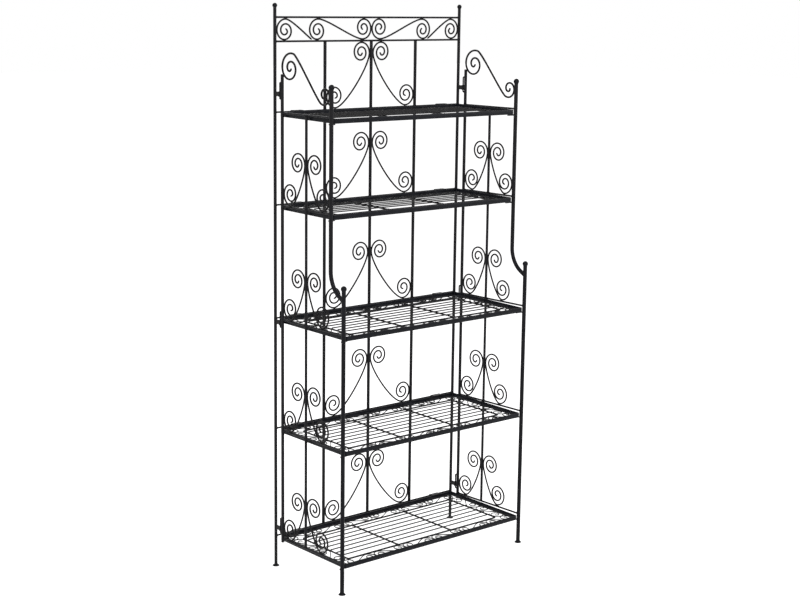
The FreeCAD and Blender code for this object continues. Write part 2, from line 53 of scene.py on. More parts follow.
# Heights
BOTTOM_RAIL = 100.0
LOWER_TIER = 353.0
UPPER_TIER = 283.0
CREST = 212.0
SHELF_TWO = BOTTOM_RAIL + 3 * LOWER_TIER
SHELF_ONE = SHELF_TWO + UPPER_TIER
SHELF_THREE = SHELF_TWO - LOWER_TIER
SHELF_RAILS = (SHELF_ONE, SHELF_TWO, SHELF_THREE, SHELF_THREE - LOWER_TIER, BOTTOM_RAIL)
FRONT_DEPTHS = (UPPER_DEPTH, UPPER_DEPTH, LOWER_DEPTH, LOWER_DEPTH, LOWER_DEPTH)
BAND_RAIL = SHELF_ONE + CREST
TOP_RAIL = BAND_RAIL + 72.0
BACK_BALL_Z = TOP_RAIL + 35.0
UPPER_BALL_Z = SHELF_ONE + 87.0
LOWER_BALL_Z = SHELF_THREE + 139.0

# Bars, balls and feet
BACK_BAR_D = 10.0
REAR_POST_D = 10.0
MIDDLE_BAR_D = 8.5
FRONT_POST_D = 13.0
RAIL_D = 5.5
SLIM_RAIL_D = 6.1  # the rails that no shelf hangs on
BACK_BALL_D = 15.0
FRONT_BALL_D = 18.0
FOOT_D = 22.5
FOOT_HEIGHT = 5.5
FOOT_COLLAR = 1.0  # the foot's collar stands out this far from its post
FOOT_RIM = ((1.3, 0.0), (0.4, 0.4), (0.0, 1.2), (0.1, 1.8), (0.7, 2.4))  # (in from the rim, height)
FOOT_SLOPE = ((0.4, 3.6), (0.12, 4.7), (0.0, FOOT_HEIGHT))  # (share of the way out to the rim, height)
BALL_WELD = ((0.15, 0.6), (0.35, 0.1))  # (out from the post, below the ball's seat)
BALL_START = 0.93  # where the ball leaves its weld, against the height of its seat
BALL_STEPS = 20
BEND_START = SHELF_THREE + 185.0
BEND_RADIUS = 85.0
BEND_ANGLE = math.radians(60.0)
BEND_STEPS = 16
BENT_POST_STOP = 2.0  # the bent post ends this far short of the lower post's axis
POST_WELD_DEPTH = 1.0  # what is welded to a post reaches this far into it
BAR_WELD = ((0.0, 1.45), (0.18, 1.22), (0.42, 1.06), (0.7, 1.0))  # (diameters in, radius share)
ROUND_SEGMENTS = 40
ROUND_STEPS = 8

# Hinges
HINGES = (SHELF_ONE + 66.0, SHELF_THREE, BOTTOM_RAIL + 40.0)
HINGE_SETBACK = 25.0
PIN_D = 5.0
PIN_HEIGHT = 54.0
PIN_BEND = 3.2
EYE_DROP = 10.0
EYE_HEIGHT = 16.0
EYE_D = 10.0
EYE_EDGE = 0.5
EYE_SEGMENTS = 36
BORE_D = 5.2
BORE_EDGE = 0.4
ARM_THICKNESS = 4.0
ARM_HEIGHT = EYE_HEIGHT - 2.0
ARM_INTO_EYE = 0.6
ARM_EDGE = 0.7

# Shelves
SHELF_HALF = 371.0
SHELF_REAR = 12.0
SHELF_OVERHANG = 2.0
SHELF_SLOPE = math.radians(1.2)
FLAT_BAR = 3.0
FLAT_BAR_HEIGHT = 15.0
FLAT_BAR_EDGE = 0.6
FLAT_BAR_NIP = 0.3 * FLAT_BAR_EDGE  # from where its sharp corner would be to the softened one
SHELF_TOP = RAIL_D / 2 + 0.1  # rail axis to the top of the flat bar
SHELF_CORNER = 6.0
CORNER_STEPS = 12
GRID_INSET = 48.0
GRID_END_INSET = 53.0
GRID_DROP = 3.0  # top of the flat bar down to the tops of the long wires
GRID_WELD = 0.8  # how deep a long wire is pressed into the frame wire
GRID_FRAME_WIRE = 5.4
GRID_WIRE = 4.0
LONG_WIRE_RISE = SHELF_TOP - GRID_DROP - GRID_WIRE / 2
FRAME_WIRE_RISE = LONG_WIRE_RISE - (GRID_WIRE + GRID_FRAME_WIRE) / 2 + GRID_WELD
GRID_PITCH = 28.6
GRID_CORNER = 6.0
CROSS_BAR_OFFSET = 113.0
BORDER_WIRE = 3.1
BORDER_CURL_END = 4.5
BORDER_CURL_TURNS = 1.5
BORDER_STOPS = (-361.0, -256.0, -134.5, -13.0, 108.5, 230.0, 351.5)  # ends of the rear scrolls
HOOK_OFFSET = 300.0
HOOK_WIDTH = 36.0
HOOK_STRAP = 2.0
HOOK_WRAP = math.radians(145.0)
HOOK_STEPS = 20
PEG_WIRE = 5.0
PEG_REACH_BACK = 12.0
PEG_REACH_IN = 23.0
PEG_BEND = 4.0
PEG_SEAT_GAP = 0.3

# Scrollwork
SCROLL_WIRE = 5.4
CREST_WIRE = 6.3
TAIL_GRIP = 0.17
TURN_STEP = 9.0  # degrees between two points of a curl
TAIL_STEPS = 24
TIP_STEPS = 8
TIP_BEND = 0.5  # how far a curl's tip runs on before it turns in, against the end radius
TIP_LEAN = 0.6  # how far past the curl's centre the tip ends, against the end radius
WIRE_END = (0.72, 0.9)  # radius share at the last two points of a bent wire
CURL_END = 10.0
UPPER_CURL = 34.5
UPPER_CURL_TURNS = 1.7
LOWER_CURL = 35.5
LOWER_CURL_TURNS = 1.72
BAND_TURNS = 1.66
BAND_TAIL_END = 140.0  # from the post's axis in to the end of the corner scroll's tail
BAND_LONG_START = 130.0  # and to the outer edge of the long scroll
SIDE_SCROLL_WIDTH = 107.0
SIDE_SCROLL_HEIGHT = 166.5

# Crest: a large curl over the rear post and a small one against the upper front post
CREST_CURL = 46.0
CREST_CURL_END = 9.0
CREST_CURL_TURNS = 1.5
CREST_CURL_START = math.radians(70.0)  # where the curl leaves its tail, from straight forward
CREST_CURL_DEPTH = 75.6
CREST_CURL_RISE = 134.5  # shelf 1's rail to the curl's centre
FRONT_CURL = 29.5
FRONT_CURL_END = 8.0
FRONT_CURL_TURNS = 1.12
FRONT_CURL_START = math.radians(-122.0)
FRONT_CURL_RISE = 62.8
CREST_GRIP = 0.1

SIDES = (("left", -1), ("right", 1))

# Powder coat: each noise is (scale, detail, roughness)
CLOUD_NOISE = (38, 4, 0.6)
CLOUD_SPAN = (0.35, 0.65)  # the part of the noise that goes from the dark tone to the light one
SPECKLE_NOISE = (1400, 2, 0.5)
GLOSS_NOISE = (95, 3, 0.6)
GLOSS_SPAN = (0.3, 0.7)
GLOSSIER = 0.07  # how far the roughness goes under its own value
DULLER = 0.08  # and over it
EDGE_POINTINESS = (0.54, 0.66)  # where wear on an edge begins and where it is full
WORN_TONE = (0.05, 0.048, 0.046)
PEEL_DEPTH = 0.00012
SPECULAR = 0.1

# Studio, in metres and watts
WHITE = (1, 1, 1, 1)
WORLD_LIGHT = 0.6
FLOOR_REACH = 30.0
FLOOR_TONE = (0.85, 0.85, 0.85, 1)
FLOOR_GLOW = 0.62
LAMPS = (  # name, place, target, size, power
    ("key", (-2.6, -3.4, 3.6), (0, 0, 0.9), 2.2, 95),
    ("fill", (3.4, -2.6, 2.4), (0, 0, 0.9), 2.6, 45),
    ("rim", (0.6, 3.2, 3.2), (0, 0, 1.0), 2.4, 50),
)
CAMERA_PLACE = (-3.3139, -3.7439, 1.7818)
CAMERA_ANGLES = (-41.405, -10.62, 0.71)  # yaw, pitch and roll
CAMERA_LENS = 72.06
CAMERA_SENSOR = 36.0
CAMERA_CLIP = (0.1, 100.0)


def at(x, depth, z):
    """Place in the frame, from millimetres across, forward from the back panel and up."""
    return Vector((x, BACK_Y - depth, z)) * MM


# ---- Materials: the same black powder coat, a little different on each kind of piece ----


def paint(name, dark, light, roughness, grain, wear):
    """Powder coat: fine orange peel, faint clouds in tone and gloss, thinner and paler on edges."""
    material = bpy.data.materials.new(name)
    material.use_nodes = True
    nodes = material.node_tree.nodes
    links = material.node_tree.links
    shader = nodes["Principled BSDF"]
    shader.inputs["Specular IOR Level"].default_value = SPECULAR
    shader.inputs["Metallic"].default_value = 0.0
    place = nodes.new("ShaderNodeTexCoord")

    def noise(scale, detail, rough):
        texture = nodes.new("ShaderNodeTexNoise")
        texture.inputs["Scale"].default_value = scale
        texture.inputs["Detail"].default_value = detail
        texture.inputs["Roughness"].default_value = rough
        links.new(place.outputs["Object"], texture.inputs["Vector"])
        return texture.outputs["Fac"]

    def ramp(source, low, high, start, end):
        node = nodes.new("ShaderNodeMapRange")
        node.inputs["From Min"].default_value = low
        node.inputs["From Max"].default_value = high
        node.inputs["To Min"].default_value = start
        node.inputs["To Max"].default_value = end
        links.new(source, node.inputs["Value"])
        return node.outputs["Result"]

    def mix(share, first, second):
        node = nodes.new("ShaderNodeMix")
        node.data_type = "RGBA"
        links.new(share, node.inputs["Factor"])
        for value, socket in ((first, node.inputs["A"]), (second, node.inputs["B"])):
            if isinstance(value, tuple):
                socket.default_value = (*value, 1)
            else:
                links.new(value, socket)
        return node.outputs["Result"]

    clouds = ramp(noise(*CLOUD_NOISE), *CLOUD_SPAN, 0, 1)
    speckle = noise(*SPECKLE_NOISE)
    base = mix(clouds, dark, light)
    geometry = nodes.new("ShaderNodeNewGeometry")
    edges = ramp(geometry.outputs["Pointiness"], *EDGE_POINTINESS, 0, wear)
    worn = mix(edges, base, WORN_TONE)
    links.new(worn, shader.inputs["Base Color"])
    gloss = ramp(noise(*GLOSS_NOISE), *GLOSS_SPAN, roughness - GLOSSIER, roughness + DULLER)
    links.new(gloss, shader.inputs["Roughness"])
    bump = nodes.new("ShaderNodeBump")
    bump.inputs["Strength"].default_value = grain
    bump.inputs["Distance"].default_value = PEEL_DEPTH
    links.new(speckle, bump.inputs["Height"])
    links.new(bump.outputs["Normal"], shader.inputs["Normal"])
    return material


# Each slot's paint: name, dark tone, light tone, roughness, grain and wear on edges
LOOKS = {
    "frame_tube": ("frame_paint", (0.0045, 0.0045, 0.006), (0.008, 0.008, 0.0105), 0.42, 0.22, 0.2),
    "shelf_bar": ("shelf_bar_paint", (0.0035, 0.004, 0.006), (0.007, 0.008, 0.0115), 0.36, 0.2, 0.22),
    "shelf_wire": ("shelf_wire_paint", (0.004, 0.004, 0.005), (0.007, 0.007, 0.0085), 0.44, 0.22, 0.18),
    "scroll_wire": ("scroll_paint", (0.0055, 0.005, 0.0055), (0.01, 0.009, 0.01), 0.46, 0.24, 0.2),
    "hardware": ("hardware_paint", (0.0045, 0.004, 0.005), (0.008, 0.0075, 0.009), 0.4, 0.22, 0.3),
    "finial": ("finial_paint", (0.004, 0.0045, 0.006), (0.0075, 0.008, 0.0105), 0.34, 0.25, 0.2),
}
PAINTS = {kind: paint(*look) for kind, look in LOOKS.items()}


# ---- Pieces ----


def place_piece(name, data, body, slot, nodes):
    """Make a piece of curve or mesh data, which rides on a body and stands for its CAD nodes."""
    data.materials.append(PAINTS[slot])
    piece = bpy.data.objects.new(name, data)
    bpy.context.scene.collection.objects.link(piece)
    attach(piece, body)
    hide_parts(*nodes)


def wires(name, body, slot, lines, nodes):
    """Round wires. Each line is (diameter, points), where a point is a place and a share of radius."""
    curve = bpy.data.curves.new(name, "CURVE")
    curve.dimensions = "3D"
    curve.bevel_depth = MM / 2
    curve.bevel_resolution = 4
    curve.use_fill_caps = True
    for diameter, points in lines:
        spline = curve.splines.new("POLY")
        spline.points.add(len(points) - 1)
        for point, (place, share) in zip(spline.points, points):
            point.co = (*place, 1)
            point.radius = diameter * share
    place_piece(name, curve, body, slot, nodes)


def plain(points):
    """Places of a line whose radius is the same all along."""
    return [(place, 1.0) for place in points]


def bar(start, end, diameter, welds=(True, True)):
    """Straight bar, spread at its ends into the weld that holds it."""
    way = (end - start).normalized()
    points = []
    if welds[0]:
        points += [(start + way * (reach * diameter * MM), share) for reach, share in BAR_WELD]
    else:
        points.append((start, 1.0))
    if welds[1]:
        points += [(end - way * (reach * diameter * MM), share) for reach, share in reversed(BAR_WELD)]
    else:
        points.append((end, 1.0))
    return (diameter, points)


def rounded(corners, radius):
    """Line through the corners, with each inner one bent to a radius."""
    points = [corners[0]]
    for before, corner, after in zip(corners, corners[1:], corners[2:]):
        arrive = (corner - before).normalized()
        leave = (after - corner).normalized()
        turn = arrive.angle(leave)
        cut = radius * MM * math.tan(turn / 2)
        centre = corner + (leave - arrive).normalized() * (radius * MM / math.cos(turn / 2))
        first = corner - arrive * cut - centre
        axis = arrive.cross(leave)
        for step in range(ROUND_STEPS + 1):
            points.append(centre + Matrix.Rotation(turn * step / ROUND_STEPS, 3, axis) @ first)
    points.append(corners[-1])
    return points


def mesh_piece(name, body, slot, shape, nodes, sharp=35.0):
    """Piece from a bmesh, smooth but for edges sharper than the given angle."""
    bmesh.ops.recalc_face_normals(shape, faces=shape.faces)
    for face in shape.faces:
        face.smooth = True
    for edge in shape.edges:
        edge.smooth = edge.calc_face_angle(0) < math.radians(sharp)
    mesh = bpy.data.meshes.new(name)
    shape.to_mesh(mesh)
    shape.free()
    place_piece(name, mesh, body, slot, nodes)


def skin(shape, rings):
    """Faces between closed rings of points, each ring joined to the next and the last to the first."""
    for first, second in zip(rings, rings[1:] + rings[:1]):
        for i in range(len(first)):
            shape.faces.new((first[i - 1], first[i], second[i], second[i - 1]))


def turned(shape, centre, profile):
    """Solid of revolution about an upright axis; the profile is (radius, height) from the centre."""
    rings = []
    for radius, height in profile:
        if radius == 0.0:
            rings.append([shape.verts.new(centre + Vector((0, 0, height * MM)))])
            continue
        ring = []
        for turn in range(ROUND_SEGMENTS):
            angle = 2 * math.pi * turn / ROUND_SEGMENTS
            offset = Vector((radius * math.cos(angle), radius * math.sin(angle), height)) * MM
            ring.append(shape.verts.new(centre + offset))
        rings.append(ring)
    for low, high in zip(rings, rings[1:]):
        for i in range(ROUND_SEGMENTS):
            corners = [low[(i - 1) % len(low)], low[i % len(low)]]
            corners += [high[i % len(high)], high[(i - 1) % len(high)]]
            shape.faces.new(list(dict.fromkeys(corners)))  # triangles beside a ring of one point


def ball_seat(ball_d, post_d):
    """How far below a ball's centre it sits on its post."""
    return math.sqrt((ball_d / 2) ** 2 - (post_d / 2) ** 2)


def ball_profile(ball_d, post_d):
    """Ball with a small weld fillet where it sits on its post."""
    lowest = -ball_seat(ball_d, post_d)
    profile = [(post_d / 2 + out, lowest - down) for out, down in BALL_WELD]
    profile = [(0.0, profile[0][1])] + profile
    start = math.asin(lowest * BALL_START / (ball_d / 2))
    for step in range(BALL_STEPS):
        tilt = start + (math.pi / 2 - start) * step / BALL_STEPS
        profile.append((ball_d / 2 * math.cos(tilt), ball_d / 2 * math.sin(tilt)))
    return profile + [(0.0, ball_d / 2)]


def foot_profile(post_d):
    """Flared foot: a rounded rim on the floor, sloping up to a collar round the post."""
    rim = FOOT_D / 2
    collar = post_d / 2 + FOOT_COLLAR
    profile = [(0.0, 0.0)] + [(rim - inset, height) for inset, height in FOOT_RIM]
    return profile + [(collar + (rim - collar) * share, height) for share, height in FOOT_SLOPE]


# ---- Scrolls ----


def on_shelf(z):
    """Places on a shelf that slopes down to the front from the rail it hangs on."""
    down, along = math.sin(SHELF_SLOPE), math.cos(SHELF_SLOPE)
    return lambda x, depth, rise: at(x, depth * along + rise * down, z + rise * along - depth * down)


def on_back(u, v):
    """Place in the plane of the back panel."""
    return at(u, 0, v)


def on_side(side):
    """Places in the plane of a side panel."""
    return lambda u, v: at(side * POST_X, u, v)


def shrink(radius, end_radius, turns):
    """How much a curl's radius shrinks in a quarter turn."""
    return (radius - end_radius) / (4 * turns)


def filling(low, high, end_radius, turns):
    """Start radius and shrink of a curl that starts on one of two levels and just touches the other."""
    quarters = 4 * turns
    radius = (quarters * (high - low) / 2 - end_radius) / (quarters - 1)
    return radius, shrink(radius, end_radius, turns)


def curl(centre, radius, end_radius, start, turns, tip=True):
    """Curl that winds in from the angle start, anticlockwise if turns is positive.

    Its tip turns in and ends a little past the centre.
    """
    steps = round(abs(turns) * 360 / TURN_STEP)
    points = []
    for step in range(steps + 1):
        reach = radius + (end_radius - radius) * step / steps
        angle = start + turns * 2 * math.pi * step / steps
        points.append((centre[0] + reach * math.cos(angle), centre[1] + reach * math.sin(angle)))
    if tip:
        end = points[-1]
        way = heading(points[-2], end)
        bend = [e + TIP_BEND * end_radius * w for e, w in zip(end, way)]
        stop = [c + TIP_LEAN * end_radius * w for c, w in zip(centre, way)]
        for step in range(1, TIP_STEPS + 1):
            t = step / TIP_STEPS
            weights = ((1 - t) ** 2, 2 * t * (1 - t), t * t)
            points.append(blend(weights, (end, bend, stop)))
    return points


def blend(weights, places):
    """Place between several, each of which has a weight."""
    return tuple(sum(weight * value for weight, value in zip(weights, values)) for values in zip(*places))


def heading(start, end):
    """Direction from one point to another."""
    reach = math.dist(start, end)
    return tuple((e - s) / reach for s, e in zip(start, end))


def joined(first, second, grip=TAIL_GRIP):
    """Two curls as one line, with a tail that runs on smoothly from their outer ends."""
    middle = tail(first[0], heading(first[1], first[0]), second[0], heading(second[0], second[1]), grip)
    return first[::-1] + middle + second


def tail(start, start_way, end, end_way, grip=TAIL_GRIP):
    """Points between two curls, on a smooth curve that leaves and arrives in the given directions."""
    hold = grip * math.dist(start, end)
    second = [s + hold * way for s, way in zip(start, start_way)]
    third = [e - hold * way for e, way in zip(end, end_way)]
    points = []
    for step in range(1, TAIL_STEPS):
        t = step / TAIL_STEPS
        weights = ((1 - t) ** 3, 3 * t * (1 - t) ** 2, 3 * t * t * (1 - t), t**3)
        points.append(blend(weights, (start, second, third, end)))
    return points


def c_scroll(width, height):
    """Scroll beside a bar: the upper curl leans on the bar at u = 0, the lower one reaches u = width."""
    half = SCROLL_WIRE / 2
    top_step = shrink(UPPER_CURL, CURL_END, UPPER_CURL_TURNS)
    low_step = shrink(LOWER_CURL, CURL_END, LOWER_CURL_TURNS)
    top_centre = (half + UPPER_CURL, height - half - UPPER_CURL + top_step)
    low_centre = (width - half - LOWER_CURL + low_step, half + LOWER_CURL)
    upper = curl(top_centre, UPPER_CURL, CURL_END, math.pi, -UPPER_CURL_TURNS)
    lower = curl(low_centre, LOWER_CURL, CURL_END, -math.pi / 2, LOWER_CURL_TURNS)
    return joined(upper, lower)


def mirrored(line):
    """The line's mirror image across u = 0."""
    return [(-u, v) for u, v in line]


def shifted(line, du, dv):
    """The line moved along both of its directions."""
    return [(u + du, v + dv) for u, v in line]


def scroll(line, place, diameter):
    """A bent wire whose two ends are drawn out a little thinner."""
    points = [(place(u, v), 1.0) for u, v in line]
    for index, share in enumerate(WIRE_END):
        for near_end in (index, -1 - index):
            points[near_end] = (points[near_end][0], share)
    return (diameter, points)


# ---- Back panel ----


def back_panel():
    """Rails, scrolls, balls and feet. The posts and upright bars stay as they are in the CAD model."""
    rail_end = POST_X - BACK_BAR_D / 2
    whole_rails = (
        ("top_rail", TOP_RAIL, SLIM_RAIL_D),
        ("band_rail", BAND_RAIL, SLIM_RAIL_D),
        ("back_rail_5", BOTTOM_RAIL, RAIL_D),
    )
    for name, z, diameter in whole_rails:
        rail = bar(at(-rail_end, 0, z), at(rail_end, 0, z), diameter)
        wires(name + "_round", "back_panel", "frame_tube", [rail], [name])
    beside = BACK_BAR_D / 2
    stops = [-rail_end]
    for upright in (-BAY, 0.0, BAY):
        stops += [upright - beside, upright + beside]
    stops.append(rail_end)
    for number, z in enumerate(SHELF_RAILS[:4], 1):
        rails = []
        for start, end in zip(stops[::2], stops[1::2]):
            rails.append(bar(at(start, 0, z), at(end, 0, z), RAIL_D))
        wires(f"back_rail_{number}_round", "back_panel", "frame_tube", rails, [f"back_rail_{number}"])

    line = c_scroll(BAY - BACK_BAR_D, CREST - RAIL_D)
    for number, z in enumerate(SHELF_RAILS, 1):
        right = shifted(line, BACK_BAR_D / 2, z + RAIL_D / 2)
        pair = [scroll(half, on_back, SCROLL_WIRE) for half in (right, mirrored(right))]
        name = f"back_scrolls_{number}"
        wires(name + "_round", "back_panel", "scroll_wire", pair, [name])
    wires("band_scrolls_round", "back_panel", "scroll_wire", band_lines(), ["band_scrolls"])

    balls = bmesh.new()
    feet = bmesh.new()
    for _, side in SIDES:
        turned(balls, at(side * POST_X, 0, BACK_BALL_Z), ball_profile(BACK_BALL_D, BACK_BAR_D))
        turned(feet, at(side * POST_X, 0, 0), foot_profile(BACK_BAR_D) + [(0.0, FOOT_HEIGHT)])
    mesh_piece("back_balls", "back_panel", "finial", balls, ["back_finials"], sharp=50.0)
    mesh_piece("back_feet_flared", "back_panel", "finial", feet, ["back_feet"], sharp=50.0)


def band_lines():
    """Corner scroll with a short tail, and a long scroll that runs down to the middle, on each side."""
    half = SCROLL_WIRE / 2
    top = TOP_RAIL - RAIL_D / 2 - half
    bottom = BAND_RAIL + RAIL_D / 2 + half
    radius, step = filling(bottom, top, CURL_END, BAND_TURNS)
    corner_x = -POST_X + BACK_BAR_D / 2 + half + radius - step
    corner = curl((corner_x, top - radius), radius, CURL_END, math.pi / 2, BAND_TURNS)
    tail_end = (-POST_X + BAND_TAIL_END, bottom)
    way_out = heading(corner[1], corner[0])
    short = corner[::-1] + tail(corner[0], way_out, tail_end, heading(corner[0], tail_end)) + [tail_end]
    long_x = -POST_X + BAND_LONG_START + half + radius - step
    outer = curl((long_x, top - radius), radius, CURL_END, math.pi / 2, BAND_TURNS)
    middle_x = -half - radius + step
    inner = curl((middle_x, bottom + radius), radius, CURL_END, -math.pi / 2, BAND_TURNS)
    lines = []
    for line in (short, joined(outer, inner)):
        lines += [scroll(line, on_back, SCROLL_WIRE), scroll(mirrored(line), on_back, SCROLL_WIRE)]
    return lines


# ---- Side panels ----


def hinges(name, side):
    """Eyes on the back post, and staple-shaped pins on the side panel's rear post."""
    x = side * POST_X
    arms = bmesh.new()
    pins = []
    for z in HINGES:
        low = z - EYE_DROP - EYE_HEIGHT / 2
        eye_with_arm(arms, x, low)
        foot = REAR_POST_SETBACK - REAR_POST_D / 2 + POST_WELD_DEPTH
        end = PIN_HEIGHT / 2 - PIN_D / 2
        staple = [at(x, foot, z - end), at(x, HINGE_SETBACK, z - end)]
        staple += [at(x, HINGE_SETBACK, z + end), at(x, foot, z + end)]
        pins.append((PIN_D, plain(rounded(staple, PIN_BEND))))
    mesh_piece(f"hinge_eyes_{name}", "back_panel", "hardware", arms, [f"hinge_brackets_{name}"])
    wires(f"hinge_pins_{name}_round", f"{name}_side", "hardware", pins, [f"hinge_pins_{name}"])


def eye_with_arm(shape, x, low):
    """Tube that the pin turns in, on a flat arm from the back post."""
    angles = [2 * math.pi * turn / EYE_SEGMENTS for turn in range(EYE_SEGMENTS)]
    circle = [(math.sin(angle), -math.cos(angle)) for angle in angles]
    bore = BORE_D / 2
    outside = EYE_D / 2
    section = (
        (bore, BORE_EDGE),
        (bore + BORE_EDGE, 0.0),
        (outside - EYE_EDGE, 0.0),
        (outside, EYE_EDGE),
        (outside, EYE_HEIGHT - EYE_EDGE),
        (outside - EYE_EDGE, EYE_HEIGHT),
        (bore + BORE_EDGE, EYE_HEIGHT),
        (bore, EYE_HEIGHT - BORE_EDGE),
    )
    rings = []
    for radius, height in section:
        places = [at(x + radius * u, HINGE_SETBACK - radius * v, low + height) for u, v in circle]
        rings.append([shape.verts.new(place) for place in places])
    skin(shape, rings)

    near = BACK_BAR_D / 2 - POST_WELD_DEPTH
    far = HINGE_SETBACK - outside + ARM_INTO_EYE
    arm = bmesh.ops.create_cube(shape, size=1.0)["verts"]
    size = Vector((ARM_THICKNESS, far - near, ARM_HEIGHT)) * MM
    centre = at(x, (near + far) / 2, low + EYE_HEIGHT / 2)
    for vertex in arm:
        vertex.co = centre + Vector(a * b for a, b in zip(vertex.co, size))
    edges = list(dict.fromkeys(edge for vertex in arm for edge in vertex.link_edges))
    bmesh.ops.bevel(shape, geom=edges, offset=ARM_EDGE * MM, segments=2, affect="EDGES")


def side_panel(name, side):
    """Rails, scrolls, pegs, balls, front posts and hinges of one side."""
    x = side * POST_X
    body = f"{name}_side"
    start = REAR_POST_SETBACK + REAR_POST_D / 2
    before = MIDDLE_BAR_DEPTH - MIDDLE_BAR_D / 2
    after = MIDDLE_BAR_DEPTH + MIDDLE_BAR_D / 2
    rails = []
    for z, depth in zip(SHELF_RAILS, FRONT_DEPTHS):
        end = depth - FRONT_POST_D / 2
        whole = z in (SHELF_ONE, BOTTOM_RAIL)  # the middle bar ends at these two
        spans = ((start, end),) if whole else ((start, before), (after, end))
        rails += [bar(at(x, near, z), at(x, far, z), SLIM_RAIL_D) for near, far in spans]
    wires(f"side_rails_{name}_round", body, "frame_tube", rails, [f"side_rails_{name}"])

    line = shifted(c_scroll(SIDE_SCROLL_WIDTH, SIDE_SCROLL_HEIGHT), MIDDLE_BAR_D / 2, 0)
    scrolls = []
    for z in SHELF_RAILS[1:]:
        for half in (line, mirrored(line)):
            placed = shifted(half, MIDDLE_BAR_DEPTH, z + RAIL_D / 2)
            scrolls.append(scroll(placed, on_side(side), SCROLL_WIRE))
    wires(f"side_scrolls_{name}_round", body, "scroll_wire", scrolls, [f"side_scrolls_{name}"])
    crest = [scroll(crest_line(), on_side(side), CREST_WIRE)]
    wires(f"top_scroll_{name}_round", body, "scroll_wire", crest, [f"top_scroll_{name}"])

    pegs = []
    for z, depth in zip(SHELF_RAILS, FRONT_DEPTHS):
        leg = depth - PEG_REACH_BACK
        drop = (FLAT_BAR_HEIGHT - SHELF_TOP) / math.cos(SHELF_SLOPE)
        drop += (leg + PEG_WIRE / 2) * math.tan(SHELF_SLOPE)
        height = z - drop - PEG_SEAT_GAP - PEG_WIRE / 2
        tip = side * (POST_X - PEG_REACH_IN)
        root = depth - FRONT_POST_D / 2 + POST_WELD_DEPTH
        corners = [at(x, root, height), at(x, leg, height), at(tip, leg, height)]
        pegs.append((PEG_WIRE, plain(rounded(corners, PEG_BEND))))
    wires(f"shelf_pegs_{name}_round", body, "hardware", pegs, [f"shelf_pegs_{name}"])

    balls = bmesh.new()
    turned(balls, at(x, UPPER_DEPTH, UPPER_BALL_Z), ball_profile(FRONT_BALL_D, FRONT_POST_D))
    turned(balls, at(x, LOWER_DEPTH, LOWER_BALL_Z), ball_profile(FRONT_BALL_D, FRONT_POST_D))
    mesh_piece(f"front_balls_{name}", body, "finial", balls, [f"front_finials_{name}"], sharp=50.0)
    front_posts(name, side)
    hinges(name, side)


def front_posts(name, side):
    """Lower front post on its foot, and the upper one, bent forward to meet it."""
    x = side * POST_X
    body = f"{name}_side"
    seat = ball_seat(FRONT_BALL_D, FRONT_POST_D)
    lower = bmesh.new()
    radius = FRONT_POST_D / 2
    top = LOWER_BALL_Z - seat
    profile = foot_profile(FRONT_POST_D) + [(radius, FOOT_HEIGHT), (radius, top), (0.0, top)]
    turned(lower, at(x, LOWER_DEPTH, 0), profile)
    nodes = [f"lower_front_post_{name}"]
    mesh_piece(f"lower_front_post_{name}_turned", body, "frame_tube", lower, nodes, sharp=50.0)

    pivot = at(x, UPPER_DEPTH + BEND_RADIUS, BEND_START)
    points = [at(x, UPPER_DEPTH, UPPER_BALL_Z - seat)]
    for step in range(BEND_STEPS + 1):
        angle = BEND_ANGLE * step / BEND_STEPS
        points.append(pivot + Vector((0, math.cos(angle), -math.sin(angle))) * (BEND_RADIUS * MM))
    way = Vector((0, -math.sin(BEND_ANGLE), -math.cos(BEND_ANGLE)))
    reach = (points[-1].y - at(0, LOWER_DEPTH, 0).y) / math.sin(BEND_ANGLE)
    points.append(points[-1] + way * (reach - BENT_POST_STOP * MM))
    upper = [(FRONT_POST_D, plain(points))]
    wires(f"upper_front_post_{name}_bent", body, "frame_tube", upper, [f"upper_front_post_{name}"])


def crest_line():
    """Large curl over the rear post, running down to a small curl against the upper front post."""
    centre = (CREST_CURL_DEPTH, SHELF_ONE + CREST_CURL_RISE)
    large = curl(centre, CREST_CURL, CREST_CURL_END, CREST_CURL_START, CREST_CURL_TURNS)
    quarters = -FRONT_CURL_START / (math.pi / 2)  # from its start on to its side against the post
    touch = FRONT_CURL - quarters * shrink(FRONT_CURL, FRONT_CURL_END, FRONT_CURL_TURNS)
    weld = UPPER_DEPTH - FRONT_POST_D / 2 - CREST_WIRE / 2
    centre = (weld - touch, SHELF_ONE + FRONT_CURL_RISE)
    small = curl(centre, FRONT_CURL, FRONT_CURL_END, FRONT_CURL_START, FRONT_CURL_TURNS)
    return joined(large, small, CREST_GRIP)


# ---- Shelves ----


def rounded_rectangle(half_width, near, far, corner):
    """Points of an outline between two depths, each with its outward direction."""
    points = []
    corners = ((1, near, 1, 3), (1, far, -1, 0), (-1, far, -1, 1), (-1, near, 1, 2))
    for sign, edge, inward, quarter in corners:
        centre = (sign * (half_width - corner), edge + inward * corner)
        for step in range(CORNER_STEPS + 1):
            angle = (quarter + step / CORNER_STEPS) * math.pi / 2
            way = (math.cos(angle), math.sin(angle))
            points.append(((centre[0] + corner * way[0], centre[1] + corner * way[1]), way))
    return points


